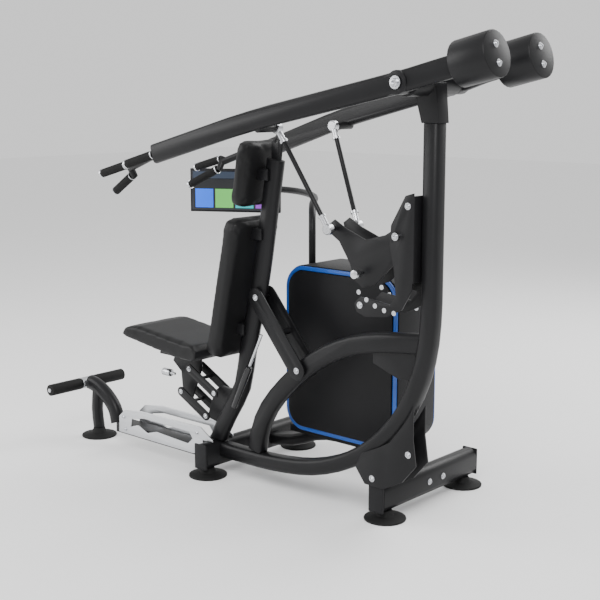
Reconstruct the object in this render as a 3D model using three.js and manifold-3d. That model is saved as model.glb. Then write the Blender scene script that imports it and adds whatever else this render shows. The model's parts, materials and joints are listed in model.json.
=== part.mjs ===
// A plate-free lat pulldown machine with a motor unit as its resistance. Millimetres, +Z up.
// The origin is the centre of the near middle foot's sole. -X is the end the user faces, +Y the motor unit's side.
import * as THREE from "three";
import { mergeVertices } from "three/addons/utils/BufferGeometryUtils.js";
import Module from "manifold-3d";

const wasm = await Module();
wasm.setup();

// ---------- driving dimensions ----------
const GAP = 0.4; // between touching pieces
const USER_Y = 60; // plane of the seat, post, mast and main tube
const BEAM = { width: 70, low: 38, high: 146 }; // the two cross beams
const MID_BEAM = { x: 8, near: -42, far: 600 };
const REAR_BEAM = { x: 855, near: 45, far: 655 };
const FOOT = { radius: 80, neck: 26, pad: 16 };
const TUBE = { wide: 64, deep: 64, round: 16 }; // main tube and mast section
const MAST_X = 1071;
const MAST_TOP = 1470;
const PIVOT = { x: 1045, z: 1605, half: 128, radius: 36 }; // the arms' shared axis
const ARM = { pivot: 168, rear: 134, front: 322, wide: 38, high: 74 }; // offsets from USER_Y and section
const ROCKER = { x: 968, z: 1083, plate: 6, half: 42 };
const ROD_TOP = { x: 490, z: 1446 };
const ROD_FOOT = { x: 672, z: 1086 };
const ROD_OFFSET = { top: 158, foot: 84 }; // rods' distances from USER_Y
const SEAT_LINK = { a: [-128, 430], b: [-180, 324], c: [20, 351], d: [-31, 245] };
const SIDE_PLATE = { offset: 59, thick: 6 };
const HOUSING = { x0: 232, x1: 800, z0: 205, z1: 892, y0: 238, y1: 478, round: 95 };

// ---------- materials ----------
const finish = (color, roughness, metalness) =>
  new THREE.MeshStandardMaterial({ color, roughness, metalness });
const FRAME = finish(0x1b1b1d, 0.45, 0.4);
const PLASTIC = finish(0x17181a, 0.6, 0);
const RUBBER = finish(0x101010, 0.85, 0);
const UPHOLSTERY = finish(0x141415, 0.55, 0);
const ZINC = finish(0xb9bcc0, 0.3, 0.9);
const ALUMINIUM = finish(0xc9ccd0, 0.35, 0.9);
const BLUE = finish(0x2a62b0, 0.4, 0);
const SCREEN = finish(0x202632, 0.15, 0);

// ---------- geometry helpers ----------
const v3 = (x, y, z) => new THREE.Vector3(x, y, z);

function toSolid(geometry) {
  const bare = geometry.clone();
  for (const name of Object.keys(bare.attributes)) if (name !== "position") bare.deleteAttribute(name);
  const merged = mergeVertices(bare, 1e-3);
  return new wasm.Manifold(
    new wasm.Mesh({
      numProp: 3,
      vertProperties: new Float32Array(merged.attributes.position.array),
      triVerts: new Uint32Array(merged.index.array),
    }),
  );
}

function toGeometry(solid) {
  const mesh = solid.getMesh();
  const geometry = new THREE.BufferGeometry();
  geometry.setAttribute("position", new THREE.BufferAttribute(new Float32Array(mesh.vertProperties), 3));
  geometry.setIndex(new THREE.BufferAttribute(new Uint32Array(mesh.triVerts), 1));
  geometry.computeVertexNormals();
  return geometry;
}

// The first geometry joined with the others, less the cuts.
function join(parts, cuts = []) {
  let solid = toSolid(parts[0]);
  for (const part of parts.slice(1)) solid = solid.add(toSolid(part));
  for (const cut of cuts) solid = solid.subtract(toSolid(cut));
  return toGeometry(solid);
}

const box = (x0, x1, y0, y1, z0, z1) =>
  new THREE.BoxGeometry(x1 - x0, y1 - y0, z1 - z0).translate((x0 + x1) / 2, (y0 + y1) / 2, (z0 + z1) / 2);

function rod(from, to, radius, sides = 14, radiusEnd = radius) {
  const axis = to.clone().sub(from);
  const geometry = new THREE.CylinderGeometry(radiusEnd, radius, axis.length(), sides);
  geometry.applyQuaternion(new THREE.Quaternion().setFromUnitVectors(v3(0, 1, 0), axis.clone().normalize()));
  return geometry.translate(...from.clone().add(to).multiplyScalar(0.5).toArray());
}

const pinY = (x, z, y0, y1, radius, sides = 14) => rod(v3(x, y0, z), v3(x, y1, z), radius, sides);

// A flat plate in the XZ plane, from an outline of [x, z] points, centred on y.
function plate(outline, y, thick, holes = []) {
  const shape = outline instanceof THREE.Shape ? outline : new THREE.Shape(outline.map(([x, z]) => new THREE.Vector2(x, z)));
  for (const [x, z, radius] of holes) shape.holes.push(new THREE.Path().absarc(x, z, radius, 0, Math.PI * 2, true));
  const geometry = new THREE.ExtrudeGeometry(shape, { depth: thick, bevelEnabled: false, curveSegments: 4 });
  return geometry.rotateX(Math.PI / 2).translate(0, y + thick / 2, 0);
}

// A link plate with round ends between two [x, z] pivots.
function link(a, b, half, y, thick, holeRadius) {
  const along = Math.atan2(b[1] - a[1], b[0] - a[0]);
  const shape = new THREE.Shape();
  shape.absarc(b[0], b[1], half, along - Math.PI / 2, along + Math.PI / 2, false);
  shape.absarc(a[0], a[1], half, along + Math.PI / 2, along + (3 * Math.PI) / 2, false);
  return plate(shape, y, thick, [[...a, holeRadius], [...b, holeRadius]]);
}

function roundedSection(wide, high, radius, corner = 1) {
  const shape = new THREE.Shape();
  const [w, h] = [wide / 2 - radius, high / 2 - radius];
  shape.absarc(w, h, radius, 0, Math.PI / 2, false);
  shape.absarc(-w, h, radius, Math.PI / 2, Math.PI, false);
  shape.absarc(-w, -h, radius, Math.PI, 1.5 * Math.PI, false);
  shape.absarc(w, -h, radius, 1.5 * Math.PI, 2 * Math.PI, false);
  return shape.extractPoints(corner).shape.filter((p, i, all) => i === 0 || p.distanceTo(all[i - 1]) > 0.01);
}

// A closed solid swept along a curve: the section's x runs across (near Y), its y in the curve's own plane.
function sweep(points, section, steps, across = v3(0, 1, 0)) {
  const curve = points.length === 2 ? new THREE.LineCurve3(...points) : new THREE.CatmullRomCurve3(points);
  const outline = section[0].distanceTo(section[section.length - 1]) < 0.01 ? section.slice(0, -1) : section;
  const count = outline.length;
  const position = [];
  for (let i = 0; i <= steps; i++) {
    const centre = curve.getPointAt(i / steps);
    const tangent = curve.getTangentAt(i / steps);
    const side = across.clone().addScaledVector(tangent, -across.dot(tangent)).normalize();
    const up = side.clone().cross(tangent);
    for (const p of outline)
      position.push(...centre.clone().addScaledVector(side, p.x).addScaledVector(up, p.y).toArray());
  }
  const index = [];
  for (let i = 0; i < steps; i++)
    for (let j = 0; j < count; j++) {
      const [a, b] = [i * count + j, i * count + ((j + 1) % count)];
      index.push(a, a + count, b, b, a + count, b + count);
    }
  const faces = THREE.ShapeUtils.triangulateShape(outline, []);
  for (const [a, b, c] of faces) {
    index.push(a, b, c);
    index.push(steps * count + a, steps * count + c, steps * count + b);
  }
  const geometry = new THREE.BufferGeometry();
  geometry.setAttribute("position", new THREE.Float32BufferAttribute(position, 3));
  geometry.setIndex(index);
  if (toVolume(geometry) < 0) {
    for (let i = 0; i < index.length; i += 3) [index[i + 1], index[i + 2]] = [index[i + 2], index[i + 1]];
    geometry.setIndex(index);
  }
  return geometry;
}

function toVolume(geometry) {
  const [p, index] = [geometry.attributes.position, geometry.index];
  let volume = 0;
  const [a, b, c] = [v3(), v3(), v3()];
  for (let i = 0; i < index.count; i += 3) {
    a.fromBufferAttribute(p, index.getX(i));
    b.fromBufferAttribute(p, index.getX(i + 1));
    c.fromBufferAttribute(p, index.getX(i + 2));
    volume += a.dot(b.cross(c)) / 6;
  }
  return volume;
}

const circle = (radius, sides = 12) =>
  Array.from({ length: sides }, (_, i) => {
    const angle = (i / sides) * 2 * Math.PI;
    return new THREE.Vector2(radius * Math.cos(angle), radius * Math.sin(angle));
  });

// ---------- assembly ----------
const machine = new THREE.Group();
function node(name, material, geometry) {
  const mesh = new THREE.Mesh(geometry, material);
  mesh.name = name;
  machine.add(mesh);
  return geometry;
}
const inPlane = (list, y = USER_Y) => list.map(([x, z]) => v3(x, y, z));

// ---- base: two cross beams, end caps, feet ----
function crossBeam(name, beam) {
  const z = (BEAM.low + BEAM.high) / 2;
  const section = roundedSection(BEAM.width, BEAM.high - BEAM.low, 26);
  node(name, FRAME, sweep([v3(beam.x, beam.near, z), v3(beam.x, beam.far, z)], section, 1, v3(1, 0, 0)));
}
crossBeam("mid_cross_beam", MID_BEAM);
crossBeam("rear_cross_beam", REAR_BEAM);

function foot(name, x, y, top) {
  const profile = [[0, 0], [FOOT.radius, 0], [FOOT.radius, FOOT.pad * 0.5], [FOOT.neck + 8, FOOT.pad], [FOOT.neck, top - GAP], [0, top - GAP]];
  const lathe = new THREE.LatheGeometry(profile.map(([r, z]) => new THREE.Vector2(r, z)), 20);
  node(name, RUBBER, lathe.rotateX(Math.PI / 2).translate(x, y, 0));
}
foot("mid_foot_near", 0, 0, BEAM.low);
foot("mid_foot_far", 8, 555, BEAM.low);
foot("rear_foot_near", REAR_BEAM.x, 95, BEAM.low);
foot("rear_foot_far", REAR_BEAM.x, 607, BEAM.low);

// ---- frame tubes in the user's plane ----
const tube = roundedSection(TUBE.wide, TUBE.deep, TUBE.round);
const beamFace = MID_BEAM.x + BEAM.width / 2 + GAP;
const mainPath = inPlane([
  [beamFace + 4, 110], [160, 109], [320, 113], [502, 134], [632, 172], [755, 232], [872, 322], [962, 430],
  [1022, 545], [1056, 660], [MAST_X, 790], [MAST_X, 1000], [MAST_X, 1240], [MAST_X, MAST_TOP],
]);
const mainSpace = sweep(mainPath, roundedSection(TUBE.wide + 2 * GAP, TUBE.deep + 2 * GAP, TUBE.round), 30);
node("main_tube_and_mast", FRAME, sweep(mainPath, tube, 30));
const arch = sweep(inPlane([
  [232, 146], [250, 240], [300, 337], [398, 447], [540, 562], [680, 636], [820, 676], [MAST_X, 706],
]), roundedSection(54, 74, 16), 16);
const archGusset = plate([[820, 660], [1010, 690], [1010, 560], [930, 560], [820, 600]], USER_Y, 8);
node("arch_tube", FRAME, join([arch, archGusset], [mainSpace, box(MAST_X - 20, MAST_X + 90, 0, 120, 600, 800)]));
const gussetOutline = [[800, 262], [770, 205], [815, BEAM.high + GAP], [905, BEAM.high + GAP], [985, 190], [1045, 262], [1030, 360], [1030, 470], [1000, 420], [930, 330], [880, 300]];
for (const [end, sign] of [["near", -1], ["far", 1]])
  node(`rear_gusset_${end}`, FRAME, plate(gussetOutline, USER_Y + sign * (TUBE.wide / 2 + 4 + GAP), 8));

// ---- seat post ----
const POST_TOP = 1320;
const postPath = inPlane([
  [MID_BEAM.x - 12, BEAM.high - 20], [45, 225], [118, 340], [158, 420], [172, 500], [198, 620], [240, 780], [275, 950], [305, 1130], [338, POST_TOP],
]);
const POST = { wide: 48, deep: 76, round: 22 };
const post = sweep(postPath, roundedSection(POST.wide, POST.deep, POST.round), 16);
const postSpace = sweep(postPath, roundedSection(POST.wide + 2 * GAP, POST.deep + 2 * GAP, POST.round), 16);
const postEar = plate([[316, POST_TOP - 20], [362, POST_TOP - 20], [375, 1400], [345, 1418], [318, 1385]], USER_Y, 8, [[345, 1388, 6]]);
const seatLug = plate([[-52, 232], [34, 214], [106, 330], [130, 372], [30, 378], [-6, 352]], USER_Y, 20);
node("seat_post", FRAME, join([post, postEar, seatLug], [box(-200, 200, -50, 200, 0, BEAM.high + GAP)]));

// ---- pads and their brackets ----
// A pad is a box leaning with the post, given by its back face's [x, z] at the foot and the head.
function pad(name, foot, head, halfWidth, thick, corner) {
  const lean = Math.atan2(head[0] - foot[0], head[1] - foot[1]);
  const long = Math.hypot(head[0] - foot[0], head[1] - foot[1]);
  const shape = new THREE.Shape(roundedSection(halfWidth * 2, long, corner));
  const geometry = new THREE.ExtrudeGeometry(shape, { depth: thick - 16, bevelEnabled: true, bevelSize: 8, bevelOffset: -8, bevelThickness: 8, bevelSegments: 2 });
  geometry.translate(0, long / 2, 8).applyMatrix4(new THREE.Matrix4().makeBasis(v3(0, 1, 0), v3(0, 0, 1), v3(1, 0, 0)));
  geometry.translate(-thick, 0, 0).rotateY(lean).translate(foot[0], USER_Y, foot[1]);
  node(name, UPHOLSTERY, join([geometry]));
}
// The space from a pad's back face forwards, which its brackets stop at.
function padSpace([x0, z0], [x1, z1]) {
  const lean = Math.atan2(x1 - x0, z1 - z0);
  return box(-200, GAP, -200, 200, -300, 900).rotateY(lean).translate(x0, USER_Y, z0);
}
const BACK_PAD = { foot: [118, 512], head: [246, 1092] };
const HEAD_PAD = { foot: [243, 1125], head: [291, 1392] };
pad("back_pad", BACK_PAD.foot, BACK_PAD.head, 138, 62, 42);
pad("head_pad", HEAD_PAD.foot, HEAD_PAD.head, 118, 58, 38);
const brackets = [["lower", 640, 190, BACK_PAD], ["upper", 1030, 290, BACK_PAD], ["head", 1262, 325, HEAD_PAD]];
for (const [name, z, back, { foot: low, head: high }] of brackets) {
  const block = box(80, back, USER_Y - 36, USER_Y + 36, z - 22, z + 22);
  const webs = join([block], [padSpace(low, high), postSpace]);
  node(`pad_bracket_${name}`, FRAME, webs);
}

// ---- strut between post and arch, and the gas spring beside it ----
const STRUT = { top: [262, 781], foot: [478, 521], half: 38, offset: 35 };
const strutPlates = [-1, 1].map((s) => link(STRUT.top, STRUT.foot, STRUT.half, USER_Y + s * (STRUT.offset + 3), 6, 5));
const strutMid = [(STRUT.top[0] + STRUT.foot[0]) / 2, (STRUT.top[1] + STRUT.foot[1]) / 2];
node("post_strut", FRAME, join([...strutPlates, pinY(strutMid[0], strutMid[1], USER_Y - STRUT.offset - 1, USER_Y + STRUT.offset + 1, 12)]));
const SPRING = { low: v3(150, USER_Y - 52, 320), middle: v3(237, USER_Y - 52, 499), high: v3(305, USER_Y - 52, 640) };
node("gas_spring_cylinder", RUBBER, rod(SPRING.low, SPRING.middle, 13));
node("gas_spring_rod", ZINC, rod(SPRING.middle.clone().lerp(SPRING.high, 0.01), SPRING.high, 6, 10));

// ---- seat, its parallelogram links and pull pin ----
const seatProfile = [[-430, 560], [-405, 592], [-330, 600], [-170, 580], [-60, 568], [20, 560], [42, 542], [40, 514], [18, 500], [-120, 506], [-260, 528], [-400, 548]];
node("seat_pad", UPHOLSTERY, plate(seatProfile, USER_Y, 330));
const { a: SA, b: SB, c: SC, d: SD } = SEAT_LINK;
node("seat_bracket", FRAME, join([
  plate([[-240, 492], [-90, 492], [-95, 420], [-150, 290], [-205, 300], [-215, 400], [-265, 440]], USER_Y, 8),
  box(-250, -30, USER_Y - 90, USER_Y + 90, 488, 498),
]));
for (const [name, from, to] of [["upper", SA, SC], ["lower", SB, SD]])
  node(`seat_link_${name}`, FRAME, join(
    [-1, 1].map((s) => link(from, to, 20, USER_Y + s * 37, 6, 4)).concat([pinY(from[0] + 60, from[1] - 32, USER_Y - 36, USER_Y + 36, 7)]),
  ));
node("seat_pull_pin", ZINC, join([rod(v3(-296, USER_Y - 30, 392), v3(-250, USER_Y - 30, 392), 16, 16), rod(v3(-251, USER_Y - 30, 392), v3(-224, USER_Y - 30, 392), 6, 10)]));

// ---- silver side plates, base tube and front stand ----
function sidePlate() {
  const outer = new THREE.Shape([[-570, 76], [-566, 150], [-530, 180], [-415, 197], [-40, 199], [30, 156], [36, 100], [-90, 76]].map((p) => new THREE.Vector2(...p)));
  outer.holes.push(new THREE.Path([[-490, 112], [-440, 128], [-380, 104], [-320, 122], [-120, 112], [-90, 140], [-110, 166], [-400, 166], [-480, 150]].map((p) => new THREE.Vector2(...p))));
  return outer;
}
for (const [end, sign] of [["near", -1], ["far", 1]])
  node(`side_plate_${end}`, ALUMINIUM, join(
    [plate(sidePlate(), USER_Y + sign * SIDE_PLATE.offset, SIDE_PLATE.thick)],
    [box(MID_BEAM.x - BEAM.width / 2 - GAP, 60, -200, 300, 0, BEAM.high + GAP)],
  ));
node("base_tube", FRAME, box(-616, MID_BEAM.x - BEAM.width / 2 - GAP, USER_Y - 40, USER_Y + 40, 62, 106));
const BAR = { x: -872, z: 240, half: 208 };
const standTube = sweep(inPlane([[BAR.x + 28, BAR.z + 6], [-800, 238], [-730, 205], [-672, 150], [-652, 90]]), roundedSection(50, 66, 20), 12);
const frontLeg = sweep(inPlane([[-790, 215], [-800, 120], [-790, 40]]), roundedSection(46, 44, 14), 4);
node("front_stand", FRAME, join([standTube, frontLeg], [box(-900, -700, 0, 120, 0, 40 + GAP)]));
foot("front_foot", -790, USER_Y, 40);
node("roller_axle", ZINC, join([pinY(BAR.x, BAR.z, USER_Y - BAR.half - 6, USER_Y + BAR.half + 6, 9), pinY(BAR.x, BAR.z, USER_Y - 34, USER_Y + 34, 26, 18)]));
for (const [end, sign] of [["near", -1], ["far", 1]]) {
  const [inner, outer] = [USER_Y + sign * 38, USER_Y + sign * BAR.half];
  node(`foot_roller_${end}`, RUBBER, join([pinY(BAR.x, BAR.z, inner, outer, 26, 20)], [pinY(BAR.x, BAR.z, inner - sign * 5, outer + sign * 5, 9.6, 14)]));
}

// ---- pivot at the mast's top ----
node("mast_head", FRAME, join([
  plate([[MAST_X - 36, MAST_TOP + GAP], [MAST_X + 36, MAST_TOP + GAP], [PIVOT.x + 50, PIVOT.z], [PIVOT.x - 50, PIVOT.z]], USER_Y, 60),
  pinY(PIVOT.x, PIVOT.z, USER_Y - PIVOT.half, USER_Y + PIVOT.half, 46, 20),
], [pinY(PIVOT.x, PIVOT.z, USER_Y - 200, USER_Y + 200, 18.3, 16)]));
node("pivot_shaft", ZINC, pinY(PIVOT.x, PIVOT.z, USER_Y - ARM.pivot - 24, USER_Y + ARM.pivot + 24, 18, 16));

// ---- arms, with grips and counterweights ----
// sign is -1 on the near side and 1 on the far side.
function arm(end, sign) {
  const at = (x, offset, z) => v3(x, USER_Y + sign * offset, z);
  const path = [at(1262, ARM.rear, 1662), at(1180, ARM.rear + 6, 1642), at(PIVOT.x, ARM.pivot, PIVOT.z), at(800, 205, 1552), at(420, 262, 1462), at(10, ARM.front, 1342)];
  const tubeBody = sweep(path, roundedSection(ARM.wide, ARM.high, 14), 14, v3(0, 1, 0));
  const hub = rod(at(PIVOT.x, PIVOT.half + 4, PIVOT.z), at(PIVOT.x, ARM.pivot + 20, PIVOT.z), 40, 16);
  const branch = sweep([at(60, ARM.front - 18, 1352), at(-60, ARM.front - 48, 1328), at(-215, 256, 1276)], circle(15, 10), 4);
  const head = rod(at(-215, 264, 1296), at(-215, 234, 1240), 14, 10);
  const lug = rod(at(ROD_TOP.x, ROD_OFFSET.top + 13, ROD_TOP.z), at(ROD_TOP.x, 262, ROD_TOP.z), 15, 12);
  const bore = rod(at(PIVOT.x, 0, PIVOT.z), at(PIVOT.x, 300, PIVOT.z), 18.4, 16);
  const weightFrom = at(1258, ARM.rear, 1661);
  const weightTo = at(1392, ARM.rear, 1692);
  const weightSpace = rod(weightFrom.clone().add(v3(-GAP, 0, 0)), weightTo, 90, 16);
  node(`counterweight_${end}`, FRAME, rod(weightFrom, weightTo, 76, 26));
  const grips = [
    ["outer", at(4, ARM.front, 1340), at(-160, ARM.front, 1296)],
    ["inner", at(-228, 262, 1288), at(-385, 262, 1246)],
    ["angled", at(-224, 236, 1246), at(-370, 205, 1172)],
  ];
  const sockets = [];
  for (const [name, root, tip] of grips) {
    const direction = tip.clone().sub(root).normalize();
    const flange = rod(tip.clone().addScaledVector(direction, -0.5), tip.clone().addScaledVector(direction, 8), 18.5, 12);
    node(`grip_${name}_${end}`, RUBBER, join([rod(root, tip, 17, 12), flange]));
    sockets.push(rod(root.clone().addScaledVector(direction, -GAP), tip, 17.6, 12));
  }
  node(`arm_${end}`, FRAME, join([tubeBody, hub, branch, head, lug], [bore, weightSpace, ...sockets]));
}
arm("near", -1);
arm("far", 1);

// ---- push rods, rocker and mast bracket ----
for (const [end, sign] of [["near", -1], ["far", 1]]) {
  const top = v3(ROD_TOP.x, USER_Y + sign * ROD_OFFSET.top, ROD_TOP.z);
  const low = v3(ROD_FOOT.x, USER_Y + sign * ROD_OFFSET.foot, ROD_FOOT.z);
  node(`push_rod_${end}`, FRAME, join([rod(top, low, 9, 12), pinY(top.x, top.z, top.y - 12, top.y + 12, 19, 16), pinY(low.x, low.z, low.y - 12, low.y + 12, 19, 16)]));
}
const rockerOutline = [[640, 1098], [668, 1118], [720, 1090], [811, 1056], [900, 1080], [966, 1120], [1006, 1090], [996, 1050], [935, 975], [860, 900], [800, 880], [765, 905], [740, 965], [690, 1040], [648, 1066]];
const rockerPlates = [-1, 1].map((s) => plate(rockerOutline, USER_Y + s * ROCKER.half, ROCKER.plate));
const rockerBush = pinY(ROCKER.x, ROCKER.z, USER_Y - ROCKER.half - 6, USER_Y + ROCKER.half + 6, 24, 16);
const lobePins = [-1, 1].map((s) => pinY(ROD_FOOT.x, ROD_FOOT.z, USER_Y + s * ROCKER.half, USER_Y + s * 70, 8, 10));
const rockerBore = pinY(ROCKER.x, ROCKER.z, USER_Y - 80, USER_Y + 80, 12.4, 14);
node("rocker", FRAME, join([...rockerPlates, rockerBush, ...lobePins, pinY(850, 985, USER_Y - ROCKER.half, USER_Y + ROCKER.half, 12)], [rockerBore]));
node("rocker_shaft", ZINC, pinY(ROCKER.x, ROCKER.z, USER_Y - 78, USER_Y + 78, 11, 14));
const mastFront = MAST_X - TUBE.deep / 2 - GAP;
const earOutline = [
  [935, 1050], [955, 960], [965, 868], [940, 838], [880, 846], [806, 852], [780, 826], [790, 796], [830, 782],
  [920, 792], [990, 825], [1034, 900], [1034, 1235], [1000, 1225], [940, 1120],
];
const bracketEars = [-1, 1].map((s) => plate(earOutline, USER_Y + s * 62, 8, [[ROCKER.x, ROCKER.z, 12.4]]));
node("rocker_bracket", FRAME, join([...bracketEars, box(mastFront - 10, mastFront, USER_Y - 66, USER_Y + 66, 925, 1225)]));
node("rocker_stop", RUBBER, rod(v3(962, USER_Y, 905), v3(MAST_X - TUBE.deep / 2 - 0.6, USER_Y, 905), 16, 14));
node("rocker_pull_pin", ZINC, join([pinY(800, 935, USER_Y - 96, USER_Y - 70, 16, 16), pinY(800, 935, USER_Y - 71, USER_Y - ROCKER.half - 4, 6, 10)]));

// ---- motor unit on the far side ----
function housingOutline(inset) {
  const section = roundedSection(HOUSING.x1 - HOUSING.x0 - 2 * inset, HOUSING.z1 - HOUSING.z0 - 2 * inset, HOUSING.round - inset, 5);
  const [x, z] = [(HOUSING.x0 + HOUSING.x1) / 2, (HOUSING.z0 + HOUSING.z1) / 2];
  return section.map((p) => [p.x + x, p.y + z]);
}
const housingMid = (HOUSING.y0 + HOUSING.y1) / 2;
const housingDepth = HOUSING.y1 - HOUSING.y0;
node("motor_housing", PLASTIC, plate(housingOutline(0), housingMid, housingDepth));
node("housing_cover_near", PLASTIC, plate(housingOutline(22), HOUSING.y0 - 8 - GAP, 16));
node("housing_trim_near", BLUE, join([plate(housingOutline(4), HOUSING.y0 - 5 - GAP, 10)], [plate(housingOutline(20), HOUSING.y0 - 5, 40)]));
node("housing_trim_far", BLUE, join([plate(housingOutline(4), HOUSING.y1 + 5 + GAP, 10)], [plate(housingOutline(20), HOUSING.y1 + 5, 40)]));
const housingShelf = box(HOUSING.x0 - 20, HOUSING.x1 - 60, HOUSING.y0 + 40, HOUSING.y1 - 40, HOUSING.z0 - 30, HOUSING.z0 - GAP);
const housingStand = sweep([v3(beamFace + 10, housingMid, 92), v3(200, housingMid, 120), v3(330, housingMid, 170), v3(430, housingMid, 180)], roundedSection(80, 50, 12), 6);
node("housing_stand", FRAME, join([housingShelf, housingStand]));

// ---- screen on its bent arm ----
const SCREEN_AT = { x: -358, y: 533, z: 1131, wide: 420, high: 196, turn: Math.atan2(0.489, 0.872) };
const screenPlace = new THREE.Matrix4().makeTranslation(SCREEN_AT.x, SCREEN_AT.y, SCREEN_AT.z)
  .multiply(new THREE.Matrix4().makeRotationZ(SCREEN_AT.turn));
const [screenX, screenZ] = [SCREEN_AT.wide / 2, SCREEN_AT.high / 2];
const screenCase = box(-screenX, screenX, 0, 26, -screenZ, screenZ);
const screenBoss = pinY(0, 0, 25, 50, 34, 14);
node("screen_case", PLASTIC, join([screenCase, screenBoss]).applyMatrix4(screenPlace));
node("screen_glass", SCREEN, box(-screenX + 9, screenX - 9, -3 - GAP, -GAP, -screenZ + 9, screenZ - 9).applyMatrix4(screenPlace));
const armPath = [
  v3(-397, 603, 1131), v3(-390, 655, 1131), v3(-320, 715, 1131), v3(-150, 715, 1130), v3(60, 600, 1125),
  v3(200, 430, 1110), v3(258, 362, 1060), v3(262, 358, 950), v3(262, 358, 800),
];
const housingSpace = plate(housingOutline(-GAP), housingMid, housingDepth + 2 * GAP);
const armBoss = pinY(0, 0, 50 + GAP, 76, 26, 14).applyMatrix4(screenPlace);
node("screen_arm", FRAME, join([sweep(armPath, circle(15, 10), 18, v3(0.4, 1, 0.1)), armBoss], [housingSpace]));

export default machine;
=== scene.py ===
"""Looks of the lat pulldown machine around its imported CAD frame.

The frame's X runs from the foot rollers back to the counterweights, its near side is -Y, and Z is up.
"""

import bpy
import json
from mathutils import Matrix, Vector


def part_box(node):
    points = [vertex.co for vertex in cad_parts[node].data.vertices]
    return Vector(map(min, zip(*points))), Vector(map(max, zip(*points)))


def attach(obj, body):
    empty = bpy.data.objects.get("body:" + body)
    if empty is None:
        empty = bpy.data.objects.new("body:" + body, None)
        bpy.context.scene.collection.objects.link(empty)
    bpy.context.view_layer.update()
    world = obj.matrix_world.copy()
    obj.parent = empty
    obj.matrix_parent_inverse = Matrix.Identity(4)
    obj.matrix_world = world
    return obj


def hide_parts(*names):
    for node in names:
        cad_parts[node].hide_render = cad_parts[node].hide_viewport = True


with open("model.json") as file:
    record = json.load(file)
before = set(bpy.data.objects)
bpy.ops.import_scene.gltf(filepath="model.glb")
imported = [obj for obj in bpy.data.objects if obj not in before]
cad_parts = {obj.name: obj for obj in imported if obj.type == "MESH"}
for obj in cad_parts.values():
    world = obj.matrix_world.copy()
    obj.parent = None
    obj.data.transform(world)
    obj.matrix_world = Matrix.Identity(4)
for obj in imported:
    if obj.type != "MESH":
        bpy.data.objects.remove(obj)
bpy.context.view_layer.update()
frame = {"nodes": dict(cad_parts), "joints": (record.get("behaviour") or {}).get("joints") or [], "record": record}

import json
import math

import bmesh
import bpy
from mathutils import Matrix, Vector

MM = 0.001
NODES = frame["nodes"]
RECORD = frame["record"]
BODY_OF = {node: body for body, members in RECORD["behaviour"]["bodies"].items() for node in members}
SLOT_OF = {part["node"]: part["material_slot"] for part in RECORD["subparts"]}
JOINTS = {joint["name"]: joint for joint in frame["joints"]}
SIDES = (("near", -1), ("far", 1))  # each side's name, and the sign of Y that points out of it

# ---------- camera, lights and floor ----------
EYE = Vector((3.353, -3.187, 1.580))
AZIMUTH, PITCH = math.radians(41.7), math.radians(10.3)
SENSOR, LENS = 36, 69.3  # millimetres

LIGHTS_AIM = (0.25, 0.2, 0.8)
LIGHTS = {  # name: place, size in metres, power in watts
    "key": ((3.0, -3.5, 4.2), 2.6, 240),
    "fill": ((-3.5, -3.0, 2.6), 3.0, 130),
    "back": ((1.0, 4.0, 3.6), 3.0, 160),
}
WORLD_STRENGTH = 1.0
FLOOR_SIZE = 40
FLOOR_GREY = 0.93


def make_camera():
    """The camera, which looks down at the machine from its rear near corner."""
    data = bpy.data.cameras.new("camera")
    data.sensor_width = SENSOR
    data.lens = LENS
    camera = bpy.data.objects.new("camera", data)
    bpy.context.scene.collection.objects.link(camera)
    camera.location = EYE
    level = math.cos(PITCH)
    back = Vector((math.sin(AZIMUTH) * level, -math.cos(AZIMUTH) * level, math.sin(PITCH)))
    camera.rotation_euler = back.to_track_quat("Z", "Y").to_euler()
    bpy.context.scene.camera = camera


def area_light(name, place, size, power):
    """A square area light that points at the machine's middle."""
    data = bpy.data.lights.new(name, "AREA")
    data.size = size
    data.energy = power
    light = bpy.data.objects.new(name, data)
    bpy.context.scene.collection.objects.link(light)
    light.location = place
    light.rotation_euler = (Vector(place) - Vector(LIGHTS_AIM)).to_track_quat("Z", "Y").to_euler()


def make_stage():
    """A white world, three soft lights and a pale floor."""
    world = bpy.data.worlds.new("studio")
    bpy.context.scene.world = world
    world.use_nodes = True
    background = world.node_tree.nodes["Background"]
    background.inputs["Color"].default_value = (1, 1, 1, 1)
    background.inputs["Strength"].default_value = WORLD_STRENGTH
    for name, (place, size, power) in LIGHTS.items():
        area_light(name, place, size, power)
    bpy.ops.mesh.primitive_plane_add(size=FLOOR_SIZE, location=(0, 0, 0))
    floor = bpy.context.object
    floor.name = "floor"
    floor.data.materials.append(plain_material("floor", (FLOOR_GREY,) * 3, 0.8, 0))


# ---------- materials ----------
DULL = 0.22  # specular level of the black coats, under the usual 0.5
BROAD_SCALE, BROAD_DETAIL = 9, 3  # the slow change of colour over a piece
FINE_DETAIL = 4
BUMP_DEPTH = 0.0006
MIX_FACTOR, MIX_A, MIX_B, MIX_RESULT = 0, 6, 7, 2  # a colour Mix node's sockets
GLOW_ROUGHNESS, GLOW_STRENGTH = 0.3, 0.7

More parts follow.
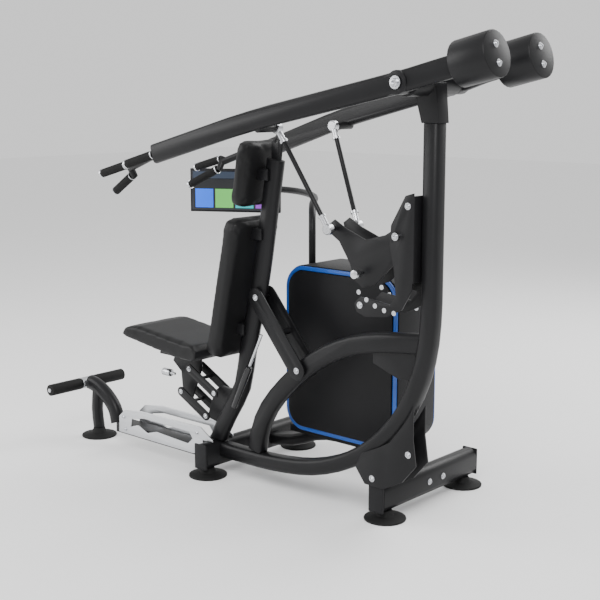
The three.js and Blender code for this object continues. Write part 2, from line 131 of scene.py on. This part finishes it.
FINISHES = {
    "frame_coat": dict(
        colour=(0.0045, 0.0045, 0.005), light=(0.008, 0.008, 0.009),
        roughness=0.4, grain=900, bump=0.25, specular=DULL,
    ),
    "upholstery": dict(
        colour=(0.004, 0.004, 0.0045), light=(0.007, 0.007, 0.0075),
        roughness=0.46, grain=420, bump=0.5, specular=DULL,
    ),
    "rubber": dict(
        colour=(0.006, 0.006, 0.006), light=(0.01, 0.01, 0.01),
        roughness=0.7, grain=600, bump=0.5, specular=0.2,
    ),
    "zinc": dict(
        colour=(0.5, 0.51, 0.53), light=(0.66, 0.67, 0.69),
        roughness=0.28, metallic=1.0, grain=300, bump=0.1,
    ),
    "gas_cylinder": dict(
        colour=(0.008, 0.008, 0.009), light=(0.014, 0.014, 0.015),
        roughness=0.22, metallic=0.1, grain=400, bump=0.05,
    ),
    "side_plate": dict(
        colour=(0.55, 0.56, 0.58), light=(0.7, 0.71, 0.73),
        roughness=0.34, metallic=1.0, grain=120, bump=0.2, stretch=(1, 1, 14),
    ),
    "housing": dict(
        colour=(0.005, 0.005, 0.006), light=(0.009, 0.009, 0.01),
        roughness=0.48, grain=1100, bump=0.5, specular=DULL,
    ),
    "blue_trim": dict(
        colour=(0.008, 0.07, 0.36), light=(0.012, 0.1, 0.45),
        roughness=0.35, grain=500, bump=0.1,
    ),
    "screen": dict(
        colour=(0.01, 0.014, 0.022), light=(0.014, 0.018, 0.028),
        roughness=0.12, grain=60, bump=0.0, spread=0.03,
    ),
}


def plain_material(name, colour, roughness, metallic):
    """A material with one colour, one roughness and one metallic value."""
    material = bpy.data.materials.new(name)
    material.use_nodes = True
    shader = material.node_tree.nodes["Principled BSDF"]
    shader.inputs["Base Color"].default_value = (*colour, 1)
    shader.inputs["Roughness"].default_value = roughness
    shader.inputs["Metallic"].default_value = metallic
    return material


def noise(tree, mapping, scale, detail):
    """A noise texture in the mapped object coordinates."""
    texture = tree.nodes.new("ShaderNodeTexNoise")
    texture.inputs["Scale"].default_value = scale
    texture.inputs["Detail"].default_value = detail
    tree.links.new(mapping.outputs["Vector"], texture.inputs["Vector"])
    return texture


def textured(
    name, colour, light, roughness, grain, bump,
    metallic=0.0, stretch=(1, 1, 1), spread=0.1, specular=0.5,
):
    """A material whose colour, roughness and bump vary with two scales of noise."""
    material = plain_material(name, colour, roughness, metallic)
    tree = material.node_tree
    shader = tree.nodes["Principled BSDF"]
    shader.inputs["Specular IOR Level"].default_value = specular
    place = tree.nodes.new("ShaderNodeTexCoord")
    mapping = tree.nodes.new("ShaderNodeMapping")
    mapping.inputs["Scale"].default_value = stretch
    tree.links.new(place.outputs["Object"], mapping.inputs["Vector"])
    fine = noise(tree, mapping, grain, FINE_DETAIL)
    broad = noise(tree, mapping, BROAD_SCALE, BROAD_DETAIL)

    tint = tree.nodes.new("ShaderNodeMix")
    tint.data_type = "RGBA"
    tint.inputs[MIX_A].default_value = (*colour, 1)
    tint.inputs[MIX_B].default_value = (*light, 1)
    tree.links.new(broad.outputs["Fac"], tint.inputs[MIX_FACTOR])
    tree.links.new(tint.outputs[MIX_RESULT], shader.inputs["Base Color"])

    rough = tree.nodes.new("ShaderNodeMapRange")
    rough.inputs["To Min"].default_value = roughness - spread
    rough.inputs["To Max"].default_value = roughness + spread
    tree.links.new(fine.outputs["Fac"], rough.inputs["Value"])
    tree.links.new(rough.outputs["Result"], shader.inputs["Roughness"])

    relief = tree.nodes.new("ShaderNodeBump")
    relief.inputs["Strength"].default_value = bump
    relief.inputs["Distance"].default_value = BUMP_DEPTH
    tree.links.new(fine.outputs["Fac"], relief.inputs["Height"])
    tree.links.new(relief.outputs["Normal"], shader.inputs["Normal"])
    return material


def glow(name, colour):
    """A lit patch of the screen."""
    material = plain_material(name, colour, GLOW_ROUGHNESS, 0)
    shader = material.node_tree.nodes["Principled BSDF"]
    shader.inputs["Emission Color"].default_value = (*colour, 1)
    shader.inputs["Emission Strength"].default_value = GLOW_STRENGTH
    return material


MATERIALS = {slot: textured(slot, **finish) for slot, finish in FINISHES.items()}


# ---------- mesh helpers ----------
WELD = 2e-5  # CAD corners closer than this are one corner
FLAT_ANGLE = 1  # degrees between faces that count as one flat face
EDGE, THICK_EDGE = 1.5 * MM, 3 * MM  # width of the rounding along an edge
EDGE_SEGMENTS, EDGE_ANGLE = 2, 50  # only edges sharper than this many degrees are rounded
BEND_ANGLE = 48  # degrees up to which a CAD surface is shaded smooth
LATHE_WELD, LATHE_ANGLE = 1e-6, 35
LATHE_SIDES, SMALL_SIDES = 32, 24


def add_object(name, mesh):
    """A new object with that mesh, in the scene."""
    piece = bpy.data.objects.new(name, mesh)
    bpy.context.scene.collection.objects.link(piece)
    return piece


def finish_piece(piece, body, slot, replaced=None):
    """Gives a piece the material of its slot and puts it on its body, and hides the CAD node that it stands for.
    """
    piece.data.materials.clear()
    piece.data.materials.append(MATERIALS[slot])
    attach(piece, body)
    if replaced:
        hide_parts(replaced)


def apply_modifiers(piece):
    """Puts what the modifiers make into the piece's mesh, and drops them."""
    bpy.context.view_layer.update()
    evaluated = piece.evaluated_get(bpy.context.evaluated_depsgraph_get())
    mesh = bpy.data.meshes.new_from_object(evaluated)
    piece.modifiers.clear()
    piece.data = mesh


def bevel_edges(piece, width, segments):
    """Rounds the edges of a piece that are sharper than the edge angle."""
    bevel = piece.modifiers.new("bevel", "BEVEL")
    bevel.width = width
    bevel.segments = segments
    bevel.limit_method = "ANGLE"
    bevel.angle_limit = math.radians(EDGE_ANGLE)
    bevel.use_clamp_overlap = True
    apply_modifiers(piece)


def smooth_by_angle(mesh, degrees):
    """Shades a mesh smooth, except across edges as sharp as the angle or sharper."""
    limit = math.radians(degrees)
    edit = bmesh.new()
    edit.from_mesh(mesh)
    for face in edit.faces:
        face.smooth = True
    for edge in edit.edges:
        edge.smooth = len(edge.link_faces) == 2 and edge.calc_face_angle(0) < limit
    edit.to_mesh(mesh)
    edit.free()


def cleaned_copy(node):
    """The CAD node's mesh as a new object, with shared corners merged and flat faces whole."""
    mesh = NODES[node].data.copy()
    edit = bmesh.new()
    edit.from_mesh(mesh)
    bmesh.ops.remove_doubles(edit, verts=edit.verts, dist=WELD)
    flat = math.radians(FLAT_ANGLE)
    bmesh.ops.dissolve_limit(edit, angle_limit=flat, verts=edit.verts, edges=edit.edges)
    edit.to_mesh(mesh)
    edit.free()
    return add_object(f"{node}_skin", mesh)


def refine(node, edge):
    """Rounds a CAD node's edges and smooths its bends."""
    piece = cleaned_copy(node)
    bevel_edges(piece, edge, EDGE_SEGMENTS)
    smooth_by_angle(piece.data, BEND_ANGLE)
    finish_piece(piece, BODY_OF[node], SLOT_OF[node], node)


def lathe(name, profile, place, axis, sides=LATHE_SIDES):
    """A turned piece. Its profile is (radius, height) pairs from place, and starts and ends on the axis."""
    mesh = bpy.data.meshes.new(name)
    turn = Vector(axis).normalized().to_track_quat("Z", "Y").to_matrix().to_4x4()
    points, faces = [], []
    for radius, height in profile:
        for k in range(sides):
            angle = 2 * math.pi * k / sides
            points.append((radius * math.cos(angle), radius * math.sin(angle), height))
    for i in range(len(profile) - 1):
        below, above = i * sides, (i + 1) * sides
        for k in range(sides):
            n = (k + 1) % sides
            faces.append((below + k, below + n, above + n, above + k))
    mesh.from_pydata(points, [], faces)
    edit = bmesh.new()
    edit.from_mesh(mesh)
    bmesh.ops.remove_doubles(edit, verts=edit.verts, dist=LATHE_WELD)
    bmesh.ops.recalc_face_normals(edit, faces=edit.faces)
    edit.to_mesh(mesh)
    edit.free()
    mesh.transform(Matrix.Translation(Vector(place)) @ turn)
    smooth_by_angle(mesh, LATHE_ANGLE)
    return add_object(name, mesh)


def side_face(node, sign):
    """The Y of a node's near face, for sign -1, or of its far face, for sign 1."""
    low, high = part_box(node)
    return low.y if sign < 0 else high.y


def joint_xz(name):
    """A joint's place in the side view."""
    x, _, z = JOINTS[name]["pos_m"]
    return x, z


# ---------- soft pads ----------
PADS = ["back_pad", "head_pad", "seat_pad"]
PAD_SHRINK = 8 * MM  # taken off each measure before the pressure swells the pad
PAD_VOXEL = 7 * MM
PAD_SWELL = 7 * MM  # how far the pressure may move a point
PAD_PROUD = 3 * MM  # how far a point may end outside the CAD pad's box
PAD_PRESSURE, PAD_STEPS, PAD_RELAX = 4, 15, 4


def blow_up(piece, low, high):
    """Swells a pad by cloth pressure, with each point held near where it was and near the CAD box."""
    start = [vertex.co.copy() for vertex in piece.data.vertices]
    cloth = piece.modifiers.new("cloth", "CLOTH")
    cloth.settings.use_pressure = True
    cloth.settings.uniform_pressure_force = PAD_PRESSURE
    cloth.settings.effector_weights.gravity = 0
    for step in range(1, PAD_STEPS + 1):
        bpy.context.scene.frame_set(step)
    apply_modifiers(piece)
    bpy.context.scene.frame_set(1)
    for vertex, before in zip(piece.data.vertices, start):
        move = vertex.co - before
        if move.length > PAD_SWELL:
            vertex.co = before + move.normalized() * PAD_SWELL
        for k in range(3):
            vertex.co[k] = min(max(vertex.co[k], low[k] - PAD_PROUD), high[k] + PAD_PROUD)


def stuffed(node):
    """The CAD pad, shrunk a little, remeshed, blown up and smoothed."""
    piece = cleaned_copy(node)
    low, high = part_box(node)
    centre = (low + high) / 2
    size = high - low
    for vertex in piece.data.vertices:
        for k in range(3):
            vertex.co[k] = centre[k] + (vertex.co[k] - centre[k]) * (1 - PAD_SHRINK / size[k])
    remesh = piece.modifiers.new("remesh", "REMESH")
    remesh.mode = "VOXEL"
    remesh.voxel_size = PAD_VOXEL
    apply_modifiers(piece)
    blow_up(piece, low, high)
    piece.modifiers.new("relax", "SMOOTH").iterations = PAD_RELAX
    piece.modifiers.new("subdivide", "SUBSURF").levels = 1
    apply_modifiers(piece)
    for face in piece.data.polygons:
        face.use_smooth = True
    finish_piece(piece, BODY_OF[node], "upholstery", node)


# ---------- grips ----------
GRIPS = [f"grip_{kind}_{side}" for side in ("near", "far") for kind in ("outer", "inner", "angled")]
TIP_REACH, ROOT_REACH = 42 * MM, 38 * MM  # a ring's corners lie within this of its extreme corner
RIBS = 22
RIB_START, RIB_MARGIN = 6 * MM, 26 * MM  # plain length before the ribs, and before and after them
RIB_RISE, RIB_FALL = 0.3, 0.75  # shares of a rib's width where its crest starts and ends
SLEEVE_RADIUS, GROOVE_RADIUS, CREST_RADIUS = 16 * MM, 15.6 * MM, 17 * MM
COLLAR_RADIUS = 18.4 * MM  # of the end cap and the ring
CAP_ROOM = 12 * MM  # from the end cap's base to the tip
END_CAP = [
    (0, 0), (COLLAR_RADIUS, 0), (COLLAR_RADIUS, 8 * MM), (16.5 * MM, 10 * MM), (0, 10 * MM),
]
GRIP_RING = [(0, 0), (COLLAR_RADIUS, 0), (COLLAR_RADIUS, 5 * MM), (0, 5 * MM)]
RING_GAP = 1 * MM


def ring_centre(corners, end, reach):
    """The mean of the corners near an end corner."""
    ring = [corner for corner in corners if (corner - end).length < reach]
    return sum(ring, Vector()) / len(ring)


def grip(node):
    """A ribbed rubber sleeve along the CAD grip, with a metal cap at its tip and a ring at its root."""
    corners = [vertex.co.copy() for vertex in NODES[node].data.vertices]
    tip = ring_centre(corners, min(corners, key=lambda c: c.x), TIP_REACH)
    root = ring_centre(corners, max(corners, key=lambda c: c.x), ROOT_REACH)
    axis = (tip - root).normalized()
    length = (tip - root).dot(axis)
    width = (length - RIB_MARGIN) / RIBS
    profile = [(0, 0), (SLEEVE_RADIUS, 0)]
    for i in range(RIBS):
        start = RIB_START + (length - RIB_MARGIN) * i / RIBS
        profile += [
            (GROOVE_RADIUS, start),
            (CREST_RADIUS, start + width * RIB_RISE),
            (CREST_RADIUS, start + width * RIB_FALL),
        ]
    cap_at = length - CAP_ROOM
    profile += [(SLEEVE_RADIUS, cap_at), (0, cap_at)]
    body = BODY_OF[node]
    finish_piece(lathe(f"{node}_sleeve", profile, root, axis), body, "rubber", node)
    finish_piece(lathe(f"{node}_end_cap", END_CAP, root + axis * cap_at, axis), body, "zinc")
    finish_piece(lathe(f"{node}_ring", GRIP_RING, root + axis * RING_GAP, axis), body, "zinc")


# ---------- screen picture ----------
PICTURE_LIFT = 1.8 * MM  # from the glass's middle plane to the picture
GLASS_DEPTH = 3 * MM
TILE_LIFT = 0.8 * MM  # of the four tiles, above the band
TILE_THICKNESS = 0.0006
TILE_FACES = [
    (3, 2, 1, 0), (4, 5, 6, 7), (0, 1, 5, 4), (1, 2, 6, 5), (2, 3, 7, 6), (3, 0, 4, 7),
]
# Left, right, bottom and top are shares of the glass's half width and half height.
HEADER, HEADER_COLOUR = (-0.97, 0.97, 0.62, 0.95), (0.02, 0.03, 0.05)
BAND, BAND_COLOUR = (-0.97, 0.97, -0.95, 0.58), (0.006, 0.007, 0.009)
TILES_LEFT, TILE_PITCH, TILE_WIDTH, TILE_BOTTOM, TILE_TOP = -0.92, 0.47, 0.42, -0.88, 0.08
TILE_COLOURS = [(0.01, 0.12, 0.75), (0.1, 0.42, 0.08), (0.0, 0.35, 0.38), (0.22, 0.04, 0.42)]


def screen_picture():
    """A header, a dark band and four coloured tiles on the screen's glass."""
    low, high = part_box("screen_glass")
    axis = JOINTS["screen_turn"]["axis"]
    turn = math.atan2(-axis[0], axis[1])
    along = Vector((math.cos(turn), math.sin(turn), 0))
    out = Vector((math.sin(turn), -math.cos(turn), 0))
    centre = (low + high) / 2 + out * PICTURE_LIFT
    half_width = (high.x - low.x - GLASS_DEPTH * out.x) / math.cos(turn) / 2
    half_height = (high.z - low.z) / 2

    def tile(name, area, colour, lift=0.0):
        left, right, bottom, top = area
        points = []
        for depth in (0.0, TILE_THICKNESS):
            for u, v in ((left, bottom), (right, bottom), (right, top), (left, top)):
                on_glass = centre + along * (half_width * u) + Vector((0, 0, half_height * v))
                points.append(on_glass + out * (lift + depth))
        mesh = bpy.data.meshes.new(name)
        mesh.from_pydata(points, [], TILE_FACES)
        piece = add_object(name, mesh)
        piece.data.materials.append(glow(name, colour))
        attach(piece, "screen")

    tile("screen_header", HEADER, HEADER_COLOUR)
    tile("screen_band", BAND, BAND_COLOUR)
    for i, colour in enumerate(TILE_COLOURS):
        left = TILES_LEFT + i * TILE_PITCH
        tile(f"screen_tile_{i + 1}", (left, left + TILE_WIDTH, TILE_BOTTOM, TILE_TOP), colour, TILE_LIFT)


# ---------- caps of the cross beams ----------
BEAM_CAP_OUT = 5 * MM  # from the beam's end to the cap's middle
BEAM_CAP_THICKNESS, BEAM_CAP_SHY = 9 * MM, 1 * MM
BEAM_CAP_EDGE, BEAM_CAP_SEGMENTS, BEAM_CAP_ANGLE = 4 * MM, 3, 40


def cross_beam_caps():
    """Moulded end caps on both cross beams, a little smaller all round than the beam."""
    for beam in ("mid_cross_beam", "rear_cross_beam"):
        low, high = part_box(beam)
        middle = (low + high) / 2
        for side, sign in SIDES:
            y = side_face(beam, sign) + sign * BEAM_CAP_OUT
            bpy.ops.mesh.primitive_cube_add(size=1, location=(middle.x, y, middle.z))
            cap = bpy.context.object
            cap.name = f"{beam}_cap_{side}"
            cap.scale = (
                (high.x - low.x) - BEAM_CAP_SHY, BEAM_CAP_THICKNESS, (high.z - low.z) - BEAM_CAP_SHY,
            )
            bpy.ops.object.transform_apply(location=True, rotation=False, scale=True)
            bevel_edges(cap, BEAM_CAP_EDGE, BEAM_CAP_SEGMENTS)
            smooth_by_angle(cap.data, BEAM_CAP_ANGLE)
            finish_piece(cap, "frame", "housing")


# ---------- bolts ----------
# Places are (x, z) in the side view, in metres.
GUSSET_BOLTS = [(1.012, 0.300), (0.850, 0.175)]
STRUT_BOLTS = [(0.262, 0.781), (0.478, 0.521)]
SIDE_PLATE_BOLTS = [(-0.535, 0.150), (-0.525, 0.095), (-0.062, 0.172), (-0.062, 0.100)]
BRACKET_BOLTS = [(1.012, 1.190), (0.806, 0.822)]
UPPER_LINK_FRONT = (-0.128, 0.430)
REAR_BEAM_BOLTS_Y = (0.33, 0.42)
COUNTERWEIGHT_END = (1.392, 1.692)
COUNTERWEIGHT_AXIS = Vector((0.134, 0, 0.031)).normalized()
COUNTERWEIGHT_ACROSS = (-0.23, 0.97)
COUNTERWEIGHT_BOLT_LIFTS = (0.03, -0.03)

# Shares of a bolt's radius: washer, neck, domed head and the round socket in it.
BOLT_PROFILE = [
    (0, 0), (1.55, 0), (1.55, 0.2), (1.0, 0.22), (1.0, 0.7),
    (0.82, 0.92), (0.5, 0.95), (0.5, 0.45), (0, 0.45),
]
SMALL_BOLT, BOLT, ROCKER_BOLT, PIVOT_BOLT = 7 * MM, 8 * MM, 9 * MM, 14 * MM

SELECTOR_COUNT, SELECTOR_START, SELECTOR_STEP = 5, 232, 9  # degrees about the rocker's shaft
SELECTOR_RADIUS = 0.272
SELECTOR_BUSH = [
    (0, 0), (9 * MM, 0), (9 * MM, 1.2 * MM), (5 * MM, 1.2 * MM), (5 * MM, 0.4 * MM), (0, 0.4 * MM),
]


def bolt(name, place, axis, body, radius=BOLT):
    """A washer and a domed cap head with a round socket, standing on a face at place."""
    profile = [(across * radius, along * radius) for across, along in BOLT_PROFILE]
    finish_piece(lathe(name, profile, place, axis, SMALL_SIDES), body, "zinc")


def bolt_pairs(stem, places, near_node, far_node, radius=BOLT):
    """Frame bolts at the same places on the near node's near face and the far node's far face."""
    for i, (x, z) in enumerate(places):
        for (side, sign), node in zip(SIDES, (near_node, far_node)):
            place = (x, side_face(node, sign), z)
            bolt(f"{stem}_{side}_{i + 1}", place, (0, sign, 0), "frame", radius)


def arm_and_rocker_bolts(side, sign):
    """One side's bolts on the pivots, the counterweight and the rocker bracket, and its selector bushes."""
    axis = (0, sign, 0)
    x, z = joint_xz("arm_near_lift")
    bolt(f"pivot_bolt_{side}", (x, side_face("pivot_shaft", sign), z), axis, "frame", PIVOT_BOLT)

    low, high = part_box(f"counterweight_{side}")
    end = Vector((COUNTERWEIGHT_END[0], (low.y + high.y) / 2, COUNTERWEIGHT_END[1]))
    for k, lift in enumerate(COUNTERWEIGHT_BOLT_LIFTS):
        off = Vector((COUNTERWEIGHT_ACROSS[0] * lift, 0, COUNTERWEIGHT_ACROSS[1] * lift))
        bolt(f"counterweight_bolt_{side}_{k + 1}", end + off, COUNTERWEIGHT_AXIS, f"arm_{side}")

    x, z = joint_xz("rocker_turn")
    bolt(f"rocker_bolt_{side}", (x, side_face("rocker_shaft", sign), z), axis, "frame", ROCKER_BOLT)
    face = side_face("rocker_bracket", sign)
    for k, (bolt_x, bolt_z) in enumerate(BRACKET_BOLTS):
        bolt(f"bracket_bolt_{side}_{k + 1}", (bolt_x, face, bolt_z), axis, "frame")
    for k in range(SELECTOR_COUNT):
        angle = math.radians(SELECTOR_START + SELECTOR_STEP * k)
        place = (x + SELECTOR_RADIUS * math.cos(angle), face, z + SELECTOR_RADIUS * math.sin(angle))
        bush = lathe(f"selector_bush_{side}_{k + 1}", SELECTOR_BUSH, place, axis, SMALL_SIDES)
        finish_piece(bush, "frame", "zinc")


def bolts():
    """Bolt heads where the pieces of the frame, the arms and the seat's links meet."""
    bolt_pairs("gusset_bolt", GUSSET_BOLTS, "rear_gusset_near", "rear_gusset_far")
    bolt_pairs("strut_bolt", STRUT_BOLTS, "post_strut", "post_strut")
    bolt_pairs("side_plate_bolt", SIDE_PLATE_BOLTS, "side_plate_near", "side_plate_far", SMALL_BOLT)
    for side, sign in SIDES:
        arm_and_rocker_bolts(side, sign)
    low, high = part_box("rear_cross_beam")
    for i, y in enumerate(REAR_BEAM_BOLTS_Y):
        bolt(f"rear_beam_bolt_{i + 1}", (high.x, y, (low.z + high.z) / 2), (1, 0, 0), "frame")
    link_pivots = [
        (UPPER_LINK_FRONT, "seat_upper_link"),
        (joint_xz("seat_upper_link_turn"), "seat_upper_link"),
        (joint_xz("seat_level"), "seat_lower_link"),
        (joint_xz("seat_lower_link_turn"), "seat_lower_link"),
    ]
    face = side_face("seat_link_upper", -1)
    for i, ((x, z), body) in enumerate(link_pivots):
        bolt(f"seat_link_bolt_{i + 1}", (x, face, z), (0, -1, 0), body, SMALL_BOLT)


# ---------- rod ends ----------
ROD_FOOT = (0.672, 1.086)  # the rods' lower eyes in the side view
ROD_PLANE_INSET = 12 * MM  # from the rod's faces to its eyes: outer face for the top, inner for the foot
SHANK_START = 15 * MM  # from an eye's centre
SHANK = [
    (0, 0), (11 * MM, 0), (11 * MM, 34 * MM), (15 * MM, 34 * MM),
    (15 * MM, 42 * MM), (10 * MM, 43 * MM), (0, 43 * MM),
]
ROD_EYE = [
    (0, -13 * MM), (17 * MM, -13 * MM), (20.5 * MM, -9 * MM),
    (20.5 * MM, 9 * MM), (17 * MM, 13 * MM), (0, 13 * MM),
]


def rod_ends():
    """Plated ends on both push rods: at each end a shank with its lock nut, and an eye."""
    top_x, top_z = joint_xz("push_rod_near_swing")
    foot_x, foot_z = ROD_FOOT
    for side, sign in SIDES:
        rod = f"push_rod_{side}"
        top = Vector((top_x, side_face(rod, sign) - sign * ROD_PLANE_INSET, top_z))
        foot = Vector((foot_x, side_face(rod, -sign) + sign * ROD_PLANE_INSET, foot_z))
        run = (foot - top).normalized()
        for end, centre, direction in (("top", top, run), ("foot", foot, -run)):
            start = centre + direction * SHANK_START
            shank = lathe(f"rod_end_{end}_{side}", SHANK, start, direction, SMALL_SIDES)
            finish_piece(shank, f"rod_{side}", "zinc")
            eye = lathe(f"rod_eye_{end}_{side}", ROD_EYE, centre, (0, 1, 0))
            finish_piece(eye, f"rod_{side}", "zinc")


# ---------- build ----------
make_camera()
make_stage()
for pad in PADS:
    stuffed(pad)
for handle in GRIPS:
    grip(handle)
for node in sorted(set(NODES) - set(PADS) - set(GRIPS)):
    refine(node, THICK_EDGE if "counterweight" in node else EDGE)
screen_picture()
cross_beam_caps()
bolts()
rod_ends()
